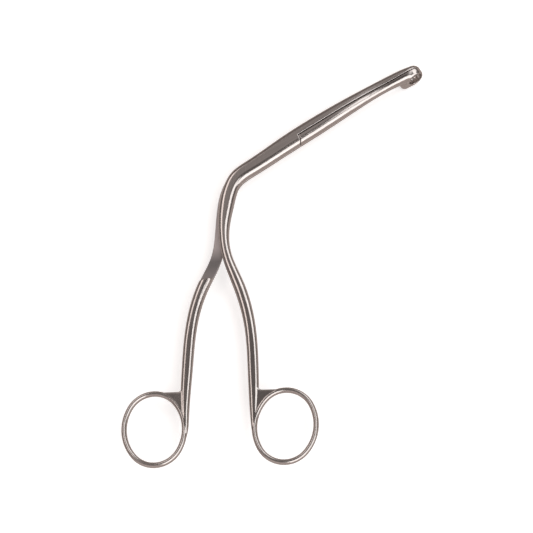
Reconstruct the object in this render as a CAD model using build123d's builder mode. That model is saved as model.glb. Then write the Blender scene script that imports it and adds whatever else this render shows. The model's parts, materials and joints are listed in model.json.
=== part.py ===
from build123d import *
from collections import namedtuple
from math import atan2, cos, degrees, radians, sin
import os

# Magill forceps, lying closed on their side, seen from above. Lengths in millimetres.
# The pivot axis is vertical and passes through X = Y = 0 while the parts are built.
# The lap plane, where the two halves slide on each other, is Z = 0.

# Handle, alike on both halves and mirrored about the handle axis
HANDLE_OFFSET = 26.9        # pivot to the handle axis, across
RING_DROP = 119.6           # pivot down to the middle of the finger rings
RING_SPREAD = 25.05         # handle axis to the middle of a finger ring
RING_BORE_WIDTH = 21.2
RING_BORE_LENGTH = 25.7
RING_TILT = 7.0             # degrees, the rings' tops lean apart
RING_END_SHARE = 0.91       # radius of the oval's ends, share of its half width
RING_BAR_WIDTH = 2.1
RING_BAR_DEPTH = 2.8
WEB_DEPTH = 2.6             # flat corner plate between ring and shank
WEB_FILLET = 1.8
WEB_EDGE_RADIUS = 0.6
SHANK_SPREAD = 12.9         # handle axis to the shank, beside and above the rings
SHANK_KNEE_SPREAD = 11.5    # where it turns in to the step
SHANK_KNEE_SHARE = 0.5      # of the way from the step down to its full width
SHANK_RISE = 22.0           # it has its full width this far above the rings' middle
SHANK_END_DROP = 3.5        # it runs out in the ring's flank this far below the rings' middle
SHANK_END_WIDTH = 2.7       # where it meets the flank, as far above their middle
SHANK_WIDTH = 4.2
SHANK_DEPTH = 3.3
STEP_DROP = 59.6            # pivot down to the step where the lap ends
STEP_SPREAD = 5.9           # handle axis to the shank at the step
STEP_WIDTH = 4.7
STEP_DEPTH = 4.8
STEP_SLANT = 12.0           # degrees, the step's edge against square to the handle axis

# Lap, where the front half lies on the back half from the step to the pivot
LAP_DEPTH = 5.5             # both halves together
LAP_GAP = 0.06              # between them
JOINT_WIDTH = 7.7
JOINT_DEPTH = 5.6
SHOULDER_RADIUS = 5.9       # round shoulders about the pivot, where each lap ends
SHOULDER_GAP = 0.25
# Each row: from the handle axis to the bar's middle, its drop below the pivot, its width
FRONT_LAP_ROWS = [(2.3, 49.0, 3.9), (1.0, 38.5, 4.4), (1.9, 27.3, 6.1), (3.5, 20.0, 6.3)]
BACK_LAP_ROWS = [(-2.0, 50.0, 4.4), (-0.3, 39.5, 4.8), (1.2, 28.0, 6.1), (3.0, 20.2, 6.3)]
BEND_ROWS = [(6.3, 14.6, 6.7), (11.9, 10.3, 7.0)]

# Jaws, one oval bar cloven along its middle
JAW_LEAN = 32.0             # degrees, the jaws' axis above square to the handle axis
JAW_ROOT_REACH = 15.0       # from the pivot along that axis
JAW_MID_REACH = 33.0
PAD_REACH = 56.0            # to the pads' heels
NECK_SETBACK = 1.5          # behind the heels
JAW_FRONT_SETBACK = 6.5
JAW_ROOT_RISE = 0.3         # the bar's middle above that axis
JAW_MID_RISE = 0.4
JAW_FRONT_DROOP = 0.1       # and below it, where the jaws bend towards the pads
NECK_DROOP = 0.7
PAD_DROOP = 1.15
JAW_ROOT_WIDTH = 7.8        # both jaws together
JAW_MID_WIDTH = 6.7
JAW_FRONT_WIDTH = 5.7
NECK_WIDTH = 5.7            # behind the pads
JAW_MID_DEPTH = 5.1
JAW_FRONT_DEPTH = 4.3
NECK_DEPTH = 4.2
NECK_RISE = 0.6             # the neck's top rises smoothly to the pads, its underside stays low
CLEFT_ROOT_RISE = 0.05      # the line between the jaws above their axis
CLEFT_MID_RISE = 0.1
CLEFT_FRONT_DROOP = 0.5     # and below it
JAW_RELIEF = 0.24           # each jaw's inner face stands back this far from that line
SECTION_ROUNDNESS = 0.40    # corner radius of every bar section, share of its smaller side

# Ring tips, a serrated round pad with a window on each jaw
PAD_LENGTH = 10.4
PAD_TOP = 3.2               # above the lap plane
PAD_BOTTOM = 5.9            # below it
FRONT_PAD_THICKNESS = 2.5
BACK_PAD_THICKNESS = 3.2
PAD_LEAN = 27.5             # degrees, the pads' own direction
PAD_GAP = 0.05              # between the closed pads
PAD_HEEL_RADIUS = 2.4
FRONT_PAD_EDGE_RADIUS = 2.2  # the pads are domed outside
BACK_PAD_EDGE_RADIUS = 1.8
WELD = 0.1                  # what is joined overlaps by this much
WINDOW_LENGTH = 6.2
WINDOW_BREADTH = 6.0
WINDOW_LIFT = 0.7           # above the middle of the pad
WINDOW_BAR = 1.0            # metal left in front of the window
TOOTH_PITCH = 0.9
TOOTH_WIDTH = 0.62
TOOTH_DEPTH = 0.22
TOOTH_SHIFT = 0.25          # of a pitch, back on one pad and ahead on the other

# Pivot screw, turned into the front half from behind, so that the front stays plain
SCREW_HEAD_RADIUS = 2.1
SCREW_HEAD_HEIGHT = 1.1
SCREW_SHANK_RADIUS = 1.6
SCREW_THREAD_RADIUS = 1.2
SCREW_THREAD_LENGTH = 1.9
SCREW_SLOT_WIDTH = 0.6
SCREW_SLOT_DEPTH = 0.5
SCREW_FIT = 0.04            # running clearance round the screw in the back half
THREAD_FIT = 0.01

Station = namedtuple("Station", "x y width depth lift", defaults=[0])

LEFT = -1
RIGHT = 1
HANDLE_X = -HANDLE_OFFSET
CLEAR = 30.0                # cutting shapes run this far past the metal
SUNK_SHARE = 0.65           # the shank's end, sunk in the ring's flank, against the ring's bar
WEB_SINK = 0.4              # the web's outer edge meets the ring's bar this far below its crest
PIVOT = Vector(0, 0)
ALONG_JAWS = Vector(cos(radians(JAW_LEAN)), sin(radians(JAW_LEAN)))
ACROSS_JAWS = Vector(-ALONG_JAWS.Y, ALONG_JAWS.X)
ALONG_PAD = Vector(cos(radians(PAD_LEAN)), sin(radians(PAD_LEAN)))
ACROSS_PAD = Vector(-ALONG_PAD.Y, ALONG_PAD.X)


def jaw_point(along, across):
    """A point of the plan, from its distances along and across the jaws' axis."""
    return PIVOT + ALONG_JAWS * along + ACROSS_JAWS * across


JAW_ROOT = jaw_point(JAW_ROOT_REACH, JAW_ROOT_RISE)
JAW_MID = jaw_point(JAW_MID_REACH, JAW_MID_RISE)
JAW_FRONT = jaw_point(PAD_REACH - JAW_FRONT_SETBACK, -JAW_FRONT_DROOP)
NECK = jaw_point(PAD_REACH - NECK_SETBACK, -NECK_DROOP)
PAD_HEEL = jaw_point(PAD_REACH, -PAD_DROOP)
CLEFT = [
    PIVOT,
    jaw_point(JAW_ROOT_REACH, CLEFT_ROOT_RISE),
    jaw_point(JAW_MID_REACH, CLEFT_MID_RISE),
    jaw_point(PAD_REACH - JAW_FRONT_SETBACK, -CLEFT_FRONT_DROOP),
    PAD_HEEL,
]
PAD_TIP = PAD_HEEL + ALONG_PAD * PAD_LENGTH
NOSE_RADIUS = (PAD_TOP + PAD_BOTTOM) / 2
NOSE_START = PAD_HEEL + ALONG_PAD * (PAD_LENGTH - NOSE_RADIUS)
RING_PATH_X = (RING_BORE_WIDTH + RING_BAR_WIDTH) / 2
RING_PATH_Y = (RING_BORE_LENGTH + RING_BAR_WIDTH) / 2


def oval_arcs(half_width, half_length):
    """The four arcs of a smooth oval: the centre, radius, start angle and turn of each."""
    end_radius = half_width * RING_END_SHARE
    squares = half_width**2 + half_length**2 - 2 * half_length * end_radius
    flank_radius = squares / (2 * (half_width - end_radius))
    to_flank = Vector(half_width - flank_radius, 0)
    to_end = Vector(0, half_length - end_radius)
    flank_half = degrees(atan2(to_end.Y, -to_flank.X))
    return [
        (to_flank, flank_radius, -flank_half, 2 * flank_half),
        (to_end, end_radius, flank_half, 180 - 2 * flank_half),
        (-to_flank, flank_radius, 180 - flank_half, 2 * flank_half),
        (-to_end, end_radius, 180 + flank_half, 180 - 2 * flank_half),
    ]


def shank_stations(side):
    """The handle's bar sections from the ring's flank, where the shank runs out, up to the step."""
    ring_flank = RING_SPREAD - RING_PATH_X
    sunk_width = RING_BAR_WIDTH * SUNK_SHARE
    sunk_depth = RING_BAR_DEPTH * SUNK_SHARE
    knee_drop = STEP_DROP + SHANK_KNEE_SHARE * (RING_DROP - SHANK_RISE - STEP_DROP)
    knee_width = (SHANK_WIDTH + STEP_WIDTH) / 2
    knee_depth = (SHANK_DEPTH + STEP_DEPTH) / 2
    rows = [
        (ring_flank, RING_DROP + SHANK_END_DROP, sunk_width, sunk_depth),
        ((ring_flank + SHANK_SPREAD) / 2, RING_DROP - SHANK_END_DROP, SHANK_END_WIDTH, RING_BAR_DEPTH),
        (SHANK_SPREAD, RING_DROP - SHANK_RISE, SHANK_WIDTH, SHANK_DEPTH),
        (SHANK_KNEE_SPREAD, knee_drop, knee_width, knee_depth),
        (STEP_SPREAD + STEP_WIDTH / 4, STEP_DROP + STEP_WIDTH / 2, STEP_WIDTH, STEP_DEPTH),
    ]
    return [Station(HANDLE_X + side * spread, -drop, width, depth) for spread, drop, width, depth in rows]


def lap_stations(rows, depth):
    """Bar sections from their rows of spread, drop and width."""
    return [Station(HANDLE_X + spread, -drop, width, depth) for spread, drop, width in rows]


def jaw_stations():
    """The bar sections that both halves share, from the bend to the pads."""
    pad_middle = NOSE_START + ACROSS_PAD * ((FRONT_PAD_THICKNESS - BACK_PAD_THICKNESS) / 2)
    pad_rise = PAD_TOP - NECK_DEPTH / 2
    return lap_stations(BEND_ROWS, JOINT_DEPTH) + [
        Station(PIVOT.X, PIVOT.Y, JOINT_WIDTH, JOINT_DEPTH),
        Station(JAW_ROOT.X, JAW_ROOT.Y, JAW_ROOT_WIDTH, JOINT_DEPTH),
        Station(JAW_MID.X, JAW_MID.Y, JAW_MID_WIDTH, JAW_MID_DEPTH),
        Station(JAW_FRONT.X, JAW_FRONT.Y, JAW_FRONT_WIDTH, JAW_FRONT_DEPTH),
        Station(NECK.X, NECK.Y, NECK_WIDTH, NECK_DEPTH + NECK_RISE, NECK_RISE / 2),
        Station(pad_middle.X, pad_middle.Y, FRONT_PAD_THICKNESS + BACK_PAD_THICKNESS,
                NECK_DEPTH + pad_rise, pad_rise / 2),
    ]


def build_bar(stations):
    """One tapered bar with rounded sections, lofted along a smooth line through the stations."""
    with BuildLine() as spine:
        Spline([(s.x, s.y) for s in stations], tangents=[(0, 1), ALONG_PAD])
    edge = spine.edges()[0]
    with BuildPart() as bar:
        for s in stations:
            here = Vector(s.x, s.y)
            heading = edge.tangent_at(edge.param_at_point(here))
            across = Vector(heading.Y, -heading.X)
            with BuildSketch(Plane(origin=here + Vector(0, 0, s.lift), x_dir=across, z_dir=heading)):
                RectangleRounded(s.width, s.depth, min(s.width, s.depth) * SECTION_ROUNDNESS)
        loft()
    return bar.part


def build_web(centre):
    """The flat plate in the corner between the left ring and its shank, rounded along its free edge."""
    top_y = centre.Y + RING_PATH_Y + RING_BAR_WIDTH / 2 - 2 * WEB_SINK
    corner_y = top_y + WEB_FILLET
    shank_x = HANDLE_X - SHANK_SPREAD
    shank_edge = shank_x - SHANK_END_WIDTH * 2 / 3
    with BuildPart() as web:
        with BuildSketch(Plane.XY.offset(-WEB_DEPTH / 2)):
            with BuildLine():
                top = Line((centre.X, top_y), (shank_edge - WEB_FILLET, top_y))
                corner = RadiusArc(top @ 1, (shank_edge, corner_y), -WEB_FILLET)
                Polyline(corner @ 1, (shank_x, corner_y), (shank_x, centre.Y), top @ 0)
            make_face()
            with Locations(centre):
                Ellipse(RING_PATH_X, RING_PATH_Y, rotation=RING_TILT, mode=Mode.SUBTRACT)
        extrude(amount=WEB_DEPTH)
        level = web.edges().filter_by(Axis.Z, reverse=True)
        fillet(level.filter_by_position(Axis.Y, top_y, corner_y, inclusive=(True, False)), WEB_EDGE_RADIUS)
    return web.part


def build_left_grip():
    """The left finger ring with the web that carries it on the shank."""
    centre = Vector(HANDLE_X - RING_SPREAD, -RING_DROP)
    with BuildPart() as grip:
        for to_hub, radius, start, turn in oval_arcs(RING_PATH_X, RING_PATH_Y):
            hub = centre + to_hub.rotate(Axis.Z, RING_TILT)
            outward = Vector(1, 0).rotate(Axis.Z, start + RING_TILT)
            ahead = outward.rotate(Axis.Z, 90)
            with BuildSketch(Plane(origin=hub + outward * radius, x_dir=outward, z_dir=ahead)):
                Ellipse(RING_BAR_WIDTH / 2, RING_BAR_DEPTH / 2)
            revolve(axis=Axis(hub, (0, 0, 1)), revolution_arc=turn)
        add(build_web(centre))
    return grip.part


def build_lap_room(side, bottom, top):
    """The space of the other half's lap, from its step to the round shoulder about the pivot."""
    radius = SHOULDER_RADIUS + SHOULDER_GAP
    upper = ACROSS_JAWS * radius
    slope = Vector(side * cos(radians(STEP_SLANT)), -sin(radians(STEP_SLANT)))
    step = Vector(HANDLE_X + side * STEP_SPREAD, -STEP_DROP)
    with BuildPart() as room:
        with BuildSketch(Plane.XY.offset(bottom)):
            with BuildLine():
                ThreePointArc(-upper, ALONG_JAWS * radius, upper)
                ends = sorted([step + slope * CLEAR / 2, step - slope * CLEAR / 2], key=lambda p: p.X)
                Polyline(upper, (HANDLE_X - CLEAR, upper.Y), ends[0], ends[1], -upper)
            make_face()
        extrude(amount=top - bottom)
    return room.part


def build_jaw_room(side):
    """The space of the other jaw: all that lies across the cleft, outside the shoulder."""
    relief = ACROSS_JAWS * (side * JAW_RELIEF)
    beyond = PAD_TIP + ALONG_PAD * CLEAR
    outward = ACROSS_JAWS * (-side * CLEAR)
    with BuildPart() as room:
        with BuildSketch(Plane.XY.offset(-CLEAR)):
            with BuildLine():
                cleft = Spline([point + relief for point in CLEFT], tangents=[ALONG_JAWS, ALONG_PAD])
                Polyline(cleft @ 1, beyond + relief, beyond + outward, PIVOT + outward, cleft @ 0)
            make_face()
            Circle(SHOULDER_RADIUS, mode=Mode.SUBTRACT)
        extrude(amount=2 * CLEAR)
    return room.part


def build_pad(side, thickness, edge_radius):
    """A domed pad whose flat inner face lies on the cleft. Its top runs out of the neck."""
    origin = PAD_HEEL + ACROSS_PAD * (side * PAD_GAP / 2)
    face = Plane(origin=origin, x_dir=ALONG_PAD, z_dir=ACROSS_PAD * side)
    top = -side * PAD_TOP
    bottom = side * PAD_BOTTOM
    nose = PAD_LENGTH - NOSE_RADIUS
    with BuildPart() as pad:
        with BuildSketch(face):
            with BuildLine():
                heel = Polyline((nose, bottom), (0, bottom), (0, top), (nose, top))
                ThreePointArc(heel @ 1, (PAD_LENGTH, (top + bottom) / 2), heel @ 0)
            make_face()
        extrude(amount=thickness)
        heel_edges = pad.edges().filter_by(Axis(face.origin, face.z_dir)).sort_by(Axis(origin, ALONG_PAD))[:2]
        low, high = heel_edges.sort_by(Axis.Z)
        fillet(low, PAD_HEEL_RADIUS)
        wall = PAD_TOP + PAD_BOTTOM - PAD_HEEL_RADIUS
        fillet(high, min(nose, wall) - WELD)
        outer = pad.faces().sort_by(Axis(face.origin, face.z_dir))[-1]
        fillet(outer.edges(), edge_radius)
    return pad.part


def build_window(side):
    """The window through a pad."""
    middle = PAD_TIP - ALONG_PAD * (WINDOW_BAR + WINDOW_LENGTH / 2)
    middle += Vector(0, 0, (PAD_TOP - PAD_BOTTOM) / 2 + WINDOW_LIFT)
    face = Plane(origin=middle, x_dir=ALONG_PAD, z_dir=ACROSS_PAD * side)
    with BuildPart() as window:
        with BuildSketch(face.offset(-NECK_WIDTH)):
            Ellipse(WINDOW_LENGTH / 2, WINDOW_BREADTH / 2)
        extrude(amount=2 * NECK_WIDTH)
    return window.part


def build_teeth(side):
    """The cross grooves in a pad's inner face, half a pitch apart on the two pads."""
    count = int((PAD_LENGTH - TOOTH_PITCH) / TOOTH_PITCH)
    start = TOOTH_PITCH * (1 - side * TOOTH_SHIFT)
    face = Plane(origin=PAD_HEEL + ACROSS_PAD * (side * PAD_GAP / 2), x_dir=ALONG_PAD, z_dir=(0, 0, 1))
    with BuildPart() as grooves:
        with BuildSketch(face.offset(-2 * NOSE_RADIUS)):
            with Locations([(start + i * TOOTH_PITCH, 0) for i in range(count)]):
                Polygon(
                    (-TOOTH_WIDTH / 2, 0), (TOOTH_WIDTH / 2, 0), (0, side * TOOTH_DEPTH),
                    (-TOOTH_WIDTH / 2, 0), align=None,
                )
        extrude(amount=4 * NOSE_RADIUS)
    return grooves.part


def build_screw_hole(head_radius, shank_radius, top):
    """The stepped hole of the screw, from below."""
    head_seat = -JOINT_DEPTH / 2 + SCREW_HEAD_HEIGHT
    with BuildPart() as hole:
        with BuildSketch(Plane.XY.offset(-JOINT_DEPTH)):
            Circle(head_radius)
        extrude(amount=JOINT_DEPTH + head_seat)
        with BuildSketch(Plane.XY.offset(-JOINT_DEPTH)):
            Circle(shank_radius)
        extrude(amount=JOINT_DEPTH + top)
    return hole.part


left_grip = build_left_grip()
right_grip = mirror(left_grip, about=Plane.YZ.offset(HANDLE_X))
front_bar = build_bar(shank_stations(RIGHT) + lap_stations(FRONT_LAP_ROWS, LAP_DEPTH) + jaw_stations())
back_bar = build_bar(shank_stations(LEFT) + lap_stations(BACK_LAP_ROWS, LAP_DEPTH) + jaw_stations())

with BuildPart() as front_half:
    add(front_bar)
    add(build_lap_room(RIGHT, -CLEAR, LAP_GAP / 2), mode=Mode.SUBTRACT)
    add(build_jaw_room(1), mode=Mode.SUBTRACT)
    add(build_pad(1, FRONT_PAD_THICKNESS, FRONT_PAD_EDGE_RADIUS))
    add(build_window(1), mode=Mode.SUBTRACT)
    add(build_teeth(1), mode=Mode.SUBTRACT)
    add(right_grip)
    with BuildSketch(Plane.XY):
        Circle(SCREW_THREAD_RADIUS + THREAD_FIT)
    extrude(amount=SCREW_THREAD_LENGTH + SCREW_FIT, mode=Mode.SUBTRACT)

with BuildPart() as back_half:
    add(back_bar)
    add(build_lap_room(LEFT, -LAP_GAP / 2, CLEAR), mode=Mode.SUBTRACT)
    add(build_jaw_room(-1), mode=Mode.SUBTRACT)
    add(build_pad(-1, BACK_PAD_THICKNESS, BACK_PAD_EDGE_RADIUS))
    add(build_window(-1), mode=Mode.SUBTRACT)
    add(build_teeth(-1), mode=Mode.SUBTRACT)
    add(left_grip)
    add(
        build_screw_hole(SCREW_HEAD_RADIUS + SCREW_FIT, SCREW_SHANK_RADIUS + SCREW_FIT, JOINT_DEPTH),
        mode=Mode.SUBTRACT,
    )

with BuildPart() as pivot_screw:
    head_bottom = -JOINT_DEPTH / 2 + SCREW_FIT
    head_top = -JOINT_DEPTH / 2 + SCREW_HEAD_HEIGHT - SCREW_FIT
    with BuildSketch(Plane.XY.offset(head_bottom)):
        Circle(SCREW_HEAD_RADIUS)
    extrude(amount=head_top - head_bottom)
    with BuildSketch(Plane.XY.offset(head_bottom)):
        Circle(SCREW_SHANK_RADIUS)
    extrude(amount=LAP_GAP / 2 - head_bottom)
    with BuildSketch(Plane.XY.offset(head_bottom)):
        Circle(SCREW_THREAD_RADIUS)
    extrude(amount=SCREW_THREAD_LENGTH - head_bottom)
    with BuildSketch(Plane.XY.offset(head_bottom)):
        Rectangle(3 * SCREW_HEAD_RADIUS, SCREW_SLOT_WIDTH)
    extrude(amount=SCREW_SLOT_DEPTH, mode=Mode.SUBTRACT)

# The finished frame stands on the floor, with its origin under the middle of the closed forceps.
pieces = {"front_half": front_half, "back_half": back_half, "pivot_screw": pivot_screw}
box = Compound([piece.part for piece in pieces.values()]).bounding_box()
to_frame = Location((-box.center().X, -box.center().Y, -box.min.Z))

os.makedirs("parts", exist_ok=True)
for name, piece in pieces.items():
    piece.part = piece.part.moved(to_frame)
    piece.part.label = name
    export_step(piece.part, f"parts/{name}.step")
    print(name, "solids", len(piece.part.solids()), "volume", round(piece.part.volume, 2))
print("pivot at", [round(v, 4) for v in to_frame.position])
print("size", [round(v, 3) for v in box.size])
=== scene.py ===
import json
from math import atan, pi, radians, tan

import bpy
from mathutils import Matrix, Vector

# Magill forceps of polished stainless steel, lying on a pale floor. Lengths in metres.

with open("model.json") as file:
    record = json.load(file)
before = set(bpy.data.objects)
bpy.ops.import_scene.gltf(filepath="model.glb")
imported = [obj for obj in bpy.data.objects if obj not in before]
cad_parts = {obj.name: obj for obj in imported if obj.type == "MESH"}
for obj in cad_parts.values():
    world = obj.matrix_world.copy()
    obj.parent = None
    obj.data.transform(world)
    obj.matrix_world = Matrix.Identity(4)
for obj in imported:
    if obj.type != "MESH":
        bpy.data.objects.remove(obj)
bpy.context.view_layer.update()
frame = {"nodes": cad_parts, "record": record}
PIVOT = Vector(frame["record"]["behaviour"]["joints"][0]["pos_m"])
LAP_HEIGHT = PIVOT.z               # where the two halves slide on each other

# The picture's view, aimed at the height of the lap
CAMERA_DISTANCE = 0.450
FIELD_WIDTH = 0.2132               # what the picture is wide, at that distance
LEAN_RIGHT = radians(6)            # of the view, out of the vertical
LEAN_DOWN = radians(22)
PART_TURN = radians(2.37)          # of the part in the picture
PIVOT_IN_PICTURE = Vector((0.00639, 0.05472, 0))
CLIP_START = 0.01

# Each lamp: its name, direction from the pivot, the way its longer side points,
# its two sides, radiance and colour
LAMP_DISTANCE = 0.9
LAMPS = [
    ("jaw box", (0.60, -0.59, 0.57), (0.85, 0.53, 0), (0.84, 1.20), 1.55, (1, 1, 1)),
    ("right box", (0.48, 0.46, 0.77), (0, 1, 0), (0.54, 0.95), 1.45, (1, 1, 1)),
    ("left box", (-0.50, 0.26, 0.80), (0, 1, 0), (0.33, 0.88), 1.30, (1.0, 0.90, 0.86)),
]

# The room in reflections, by the height of a direction: 0 is level and 1 overhead
ROOM = [
    (0.0, (0.20, 0.165, 0.155)),
    (0.35, (0.17, 0.145, 0.138)),
    (0.60, (0.24, 0.21, 0.20)),
    (0.85, (0.38, 0.345, 0.335)),
    (0.91, (0.29, 0.26, 0.25)),
    (0.95, (0.15, 0.135, 0.13)),
    (1.0, (0.12, 0.11, 0.105)),
]
NEAR_WALL = (0.74, 0.65, 0.62)     # the lighter wall in front
NEAR_WALL_TOP = (0.65, 0.35)       # it fades in below these heights of a direction
NEAR_WALL_SIDE = (-0.30, -0.70)    # and past these, along Y

FLOOR_SIZE = 4
PAPER = (0.9, 0.9, 0.9, 1)
PAPER_GLOW = 0.50                  # brings the sheet to white and leaves a faint shadow
PAPER_MIRRORED = (0.52, 0.45, 0.42, 1)
WHITE = (1, 1, 1, 1)

# Steel
STEEL_TINT = (0.60, 0.56, 0.54)
STEEL_ROUGHNESS = 0.16
SCREW_ROUGHNESS = 0.26
ROUGHNESS_SPREAD = (0.8, 1.25)     # least and most, against the roughness
CLOUD_SCALE = 180.0                # of its patches, per metre
EDGE_ROUNDING = 0.0006             # what the polishing takes off the sharp edges
CREVICE_REACH = 0.0012             # painted shade: gaps narrower than this are darkened in the colour
PAINTED_CREVICE_SHADE = [(0.25, (0.30, 0.27, 0.26)), (0.60, (1, 1, 1))]
CREVICE_SAMPLES = 6
EDGE_SAMPLES = 8
GRAIN = {"Detail": 3.0, "Roughness": 0.6}   # of the patches and the streaks

STREAKS_ACROSS = 2600.0            # per metre
STREAKS_ALONG = 60.0
STREAK_TINT = 0.88                 # the dark streaks, against the light ones
STREAK_RANGE = (0.35, 0.65)        # of the noise, from dark to light
STREAK_STRENGTH = 0.05
STREAK_DEPTH = 0.0001
JAW_TURN = radians(58)             # of the jaws, from the handle's direction
JAWS_FROM = (-0.016, -0.006)       # in X from the pivot, where the streaks turn

# The ground lap face, satin, by Y from the step at its lower end to the bend: darker at the step,
# painted shade where the two handles part, painted light towards the bend
SATIN_HALF_LAYER = 0.00006         # what counts as the lap face, above and below its height
SATIN_ROUGHNESS = 0.42
SATIN_SPAN = (-0.016, 0.008)
SATIN_DARKER_AT_STEP = (0.38, 0.35, 0.35)
PAINTED_SHADE_AT_PARTING = (0.25, 0.235, 0.235)   # painted shade where the two handles part
PAINTED_LIGHT_AT_BEND = (0.58, 0.53, 0.525)
SATIN_PAINTED_SHADING = [
    (0.0, SATIN_DARKER_AT_STEP),
    (0.25, SATIN_DARKER_AT_STEP),
    (0.52, PAINTED_SHADE_AT_PARTING),
    (0.60, PAINTED_SHADE_AT_PARTING),
    (0.84, PAINTED_LIGHT_AT_BEND),
]


def place_camera():
    """The camera that sees the forceps as the photograph does."""
    lean = Vector((tan(LEAN_RIGHT), -tan(LEAN_DOWN), 1)).normalized()
    right = (Vector((1, 0, 0)) - lean * lean.x).normalized()
    up = lean.cross(right)
    turn = Matrix.Rotation(-PART_TURN, 3, "Z")
    middle = PIVOT - turn @ PIVOT_IN_PICTURE
    place = middle + turn @ lean * CAMERA_DISTANCE
    axes = turn @ Matrix((right, up, lean)).transposed()
    data = bpy.data.cameras.new("camera")
    data.angle = 2 * atan(FIELD_WIDTH / 2 / CAMERA_DISTANCE)
    data.clip_start = CLIP_START
    camera = bpy.data.objects.new("camera", data)
    camera.matrix_world = Matrix.Translation(place) @ axes.to_4x4()
    bpy.context.scene.collection.objects.link(camera)
    bpy.context.scene.camera = camera


def softbox(name, direction, along, sides, radiance, colour):
    """A rectangular studio lamp that faces the pivot, its longer side turned along a vector."""
    data = bpy.data.lights.new(name, "AREA")
    data.shape = "RECTANGLE"
    data.size, data.size_y = sides
    data.energy = radiance * pi * sides[0] * sides[1]
    data.color = colour
    toward = Vector(direction).normalized()
    long_side = (Vector(along) - toward * toward.dot(Vector(along))).normalized()
    axes = Matrix((long_side.cross(toward), long_side, toward)).transposed()
    lamp = bpy.data.objects.new(name, data)
    lamp.matrix_world = Matrix.Translation(PIVOT + toward * LAMP_DISTANCE) @ axes.to_4x4()
    bpy.context.scene.collection.objects.link(lamp)


class Nodes:
    """A shader tree that is built one node at a time."""

    def __init__(self, tree):
        self.tree = tree
        tree.nodes.clear()

    def feed(self, socket, value):
        """Link another node's output to a socket, or set the socket's own value."""
        if isinstance(value, bpy.types.NodeSocket):
            self.tree.links.new(value, socket)
        else:
            socket.default_value = value

    def add(self, kind, settings=None, **inputs):
        """A new node. Its inputs go by name, or as i0, i1 and so on by number."""
        node = self.tree.nodes.new(kind)
        for name, value in (settings or {}).items():
            setattr(node, name, value)
        for name, value in inputs.items():
            by_number = name[0] == "i" and name[1:].isdigit()
            key = int(name[1:]) if by_number else name.replace("_", " ")
            self.feed(node.inputs[key], value)
        return node

    def mix(self, factor, first, second, blend="MIX"):
        """Two colours mixed, each a socket or three numbers."""
        settings = {"data_type": "RGBA", "blend_type": blend}
        node = self.add("ShaderNodeMix", settings, i0=factor)
        for index, colour in ((6, first), (7, second)):
            self.feed(node.inputs[index], (*colour, 1) if isinstance(colour, tuple) else colour)
        return node.outputs[2]

    def ramp(self, factor, stops):
        """A colour that follows a factor through its stops."""
        node = self.add("ShaderNodeValToRGB", Fac=factor)
        elements = node.color_ramp.elements
        while len(elements) < len(stops):
            elements.new(0.5)
        for element, (place, colour) in zip(elements, stops):
            element.position = place
            element.color = (*colour, 1)
        return node.outputs["Color"]

    def between(self, value, ends, smooth=False, to_min=0.0, to_max=1.0):
        """A value's place between two ends, from 0 to 1 or to the limits given."""
        settings = {"interpolation_type": "SMOOTHSTEP" if smooth else "LINEAR"}
        node = self.add("ShaderNodeMapRange", settings, Value=value, From_Min=ends[0],
                        From_Max=ends[1], To_Min=to_min, To_Max=to_max)
        return node.outputs["Result"]


def studio_world():
    """White to the camera. In reflections, a brownish room, dark overhead and light in front."""
    world = bpy.data.worlds.new("studio")
    bpy.context.scene.world = world
    world.use_nodes = True
    n = Nodes(world.node_tree)
    where = n.add("ShaderNodeTexCoord").outputs["Generated"]
    toward = n.add("ShaderNodeSeparateXYZ", Vector=where)
    low = n.between(toward.outputs["Z"], NEAR_WALL_TOP, smooth=True)
    near = n.between(toward.outputs["Y"], NEAR_WALL_SIDE, smooth=True, to_max=low)
    room = n.mix(near, n.ramp(toward.outputs["Z"], ROOM), NEAR_WALL)
    around = n.add("ShaderNodeBackground", Color=room, Strength=1.0)
    white = n.add("ShaderNodeBackground", Color=WHITE, Strength=1.0)
    is_camera = n.add("ShaderNodeLightPath").outputs["Is Camera Ray"]
    both = n.add("ShaderNodeMixShader", i0=is_camera, i1=around.outputs[0], i2=white.outputs[0])
    n.add("ShaderNodeOutputWorld", Surface=both.outputs[0])


def pale_floor():
    """The white sheet that the forceps lie on, pinkish grey where the steel mirrors it."""
    bpy.ops.mesh.primitive_plane_add(size=FLOOR_SIZE)
    floor = bpy.context.object
    floor.name = "floor"
    material = bpy.data.materials.new("white sheet")
    material.use_nodes = True
    n = Nodes(material.node_tree)
    paper = n.add("ShaderNodeBsdfDiffuse", Color=PAPER)
    glow = n.add("ShaderNodeEmission", Color=WHITE, Strength=PAPER_GLOW)
    seen = n.add("ShaderNodeAddShader", i0=paper.outputs[0], i1=glow.outputs[0])
    mirrored = n.add("ShaderNodeEmission", Color=PAPER_MIRRORED, Strength=1.0)
    is_glossy = n.add("ShaderNodeLightPath").outputs["Is Glossy Ray"]
    both = n.add("ShaderNodeMixShader", i0=is_glossy, i1=seen.outputs[0], i2=mirrored.outputs[0])
    n.add("ShaderNodeOutputMaterial", Surface=both.outputs[0])
    floor.data.materials.append(material)


def along_streaks(n, place, turn):
    """Fine streaks along a bar that leans by a turn from the Y axis."""
    turned = n.add("ShaderNodeMapping", Vector=place, Rotation=(0, 0, -turn))
    scale = (STREAKS_ACROSS, STREAKS_ALONG, STREAKS_ACROSS)
    stretched = n.add("ShaderNodeMapping", Vector=turned.outputs["Vector"], Scale=scale)
    noise = n.add("ShaderNodeTexNoise", Vector=stretched.outputs["Vector"], Scale=1.0, **GRAIN)
    return noise.outputs["Fac"]


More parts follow.
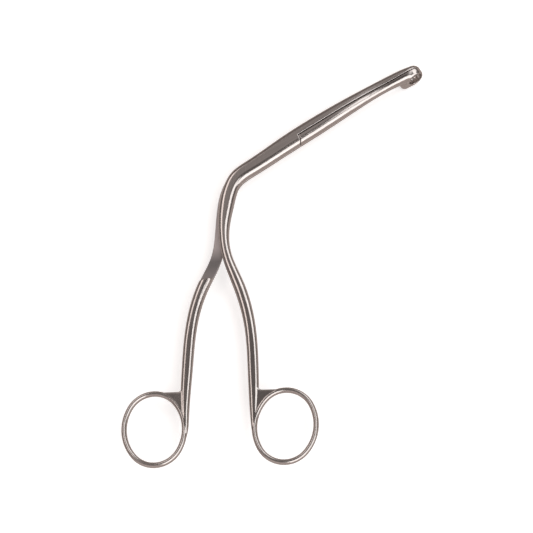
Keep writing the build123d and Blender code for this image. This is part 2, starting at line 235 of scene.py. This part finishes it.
def polished_steel(name, tint, roughness, lap_height=None):
    """Stainless steel, polished along the bars, with painted shade in narrow crevices. Its lap
    face, where it has one, is left satin, with painted shade and light along it.
    """
    material = bpy.data.materials.new(name)
    material.use_nodes = True
    n = Nodes(material.node_tree)
    place = n.add("ShaderNodeTexCoord").outputs["Object"]
    spot = n.add("ShaderNodeSeparateXYZ", Vector=place)
    in_jaws = n.between(spot.outputs["X"], [PIVOT.x + end for end in JAWS_FROM])
    streaks = n.mix(in_jaws, along_streaks(n, place, 0.0), along_streaks(n, place, -JAW_TURN))
    dark = tuple(part * STREAK_TINT for part in tint)
    colour = n.ramp(streaks, [(STREAK_RANGE[0], dark), (STREAK_RANGE[1], tint)])
    cloud = n.add("ShaderNodeTexNoise", Vector=place, Scale=CLOUD_SCALE, **GRAIN)
    least, most = ROUGHNESS_SPREAD
    rough = n.between(cloud.outputs["Fac"], (0.0, 1.0), to_min=roughness * least,
                      to_max=roughness * most)
    if lap_height is not None:
        height = spot.outputs["Z"]
        off = n.add("ShaderNodeMath", {"operation": "SUBTRACT"}, i0=height, i1=lap_height)
        apart = n.add("ShaderNodeMath", {"operation": "ABSOLUTE"}, i0=off.outputs[0])
        satin = n.add("ShaderNodeMath", {"operation": "LESS_THAN"}, i0=apart.outputs[0],
                      i1=SATIN_HALF_LAYER).outputs[0]
        rough = n.add("ShaderNodeMix", i0=satin, i2=rough, i3=SATIN_ROUGHNESS).outputs[0]
        # Painted light and shade along the satin lap face, by Y
        satin_light_and_shade = n.ramp(n.between(spot.outputs["Y"], SATIN_SPAN), SATIN_PAINTED_SHADING)
        colour = n.mix(satin, colour, satin_light_and_shade)
    # Painted shade: the steel's colour is darkened in narrow gaps and crevices
    crevice_occlusion = n.add("ShaderNodeAmbientOcclusion", {"samples": CREVICE_SAMPLES}, Color=WHITE,
                     Distance=CREVICE_REACH)
    painted_shade = n.ramp(crevice_occlusion.outputs["AO"], PAINTED_CREVICE_SHADE)
    edges = n.add("ShaderNodeBevel", {"samples": EDGE_SAMPLES}, Radius=EDGE_ROUNDING)
    bump = n.add("ShaderNodeBump", Height=streaks, Strength=STREAK_STRENGTH, Distance=STREAK_DEPTH,
                 Normal=edges.outputs["Normal"])
    metal = n.add("ShaderNodeBsdfPrincipled", Base_Color=n.mix(1.0, colour, painted_shade, "MULTIPLY"),
                  Metallic=1.0, Roughness=rough, Normal=bump.outputs["Normal"])
    n.add("ShaderNodeOutputMaterial", Surface=metal.outputs[0])
    return material


steel = polished_steel("polished steel", STEEL_TINT, STEEL_ROUGHNESS, LAP_HEIGHT)
screw_steel = polished_steel("turned steel", STEEL_TINT, SCREW_ROUGHNESS)
materials = {"front_half": steel, "back_half": steel, "pivot_screw": screw_steel}
for node_name, material in materials.items():
    frame["nodes"][node_name].material_slots[0].material = material

studio_world()
pale_floor()
place_camera()
for lamp in LAMPS:
    softbox(*lamp)

bpy.context.scene.view_settings.view_transform = "Standard"
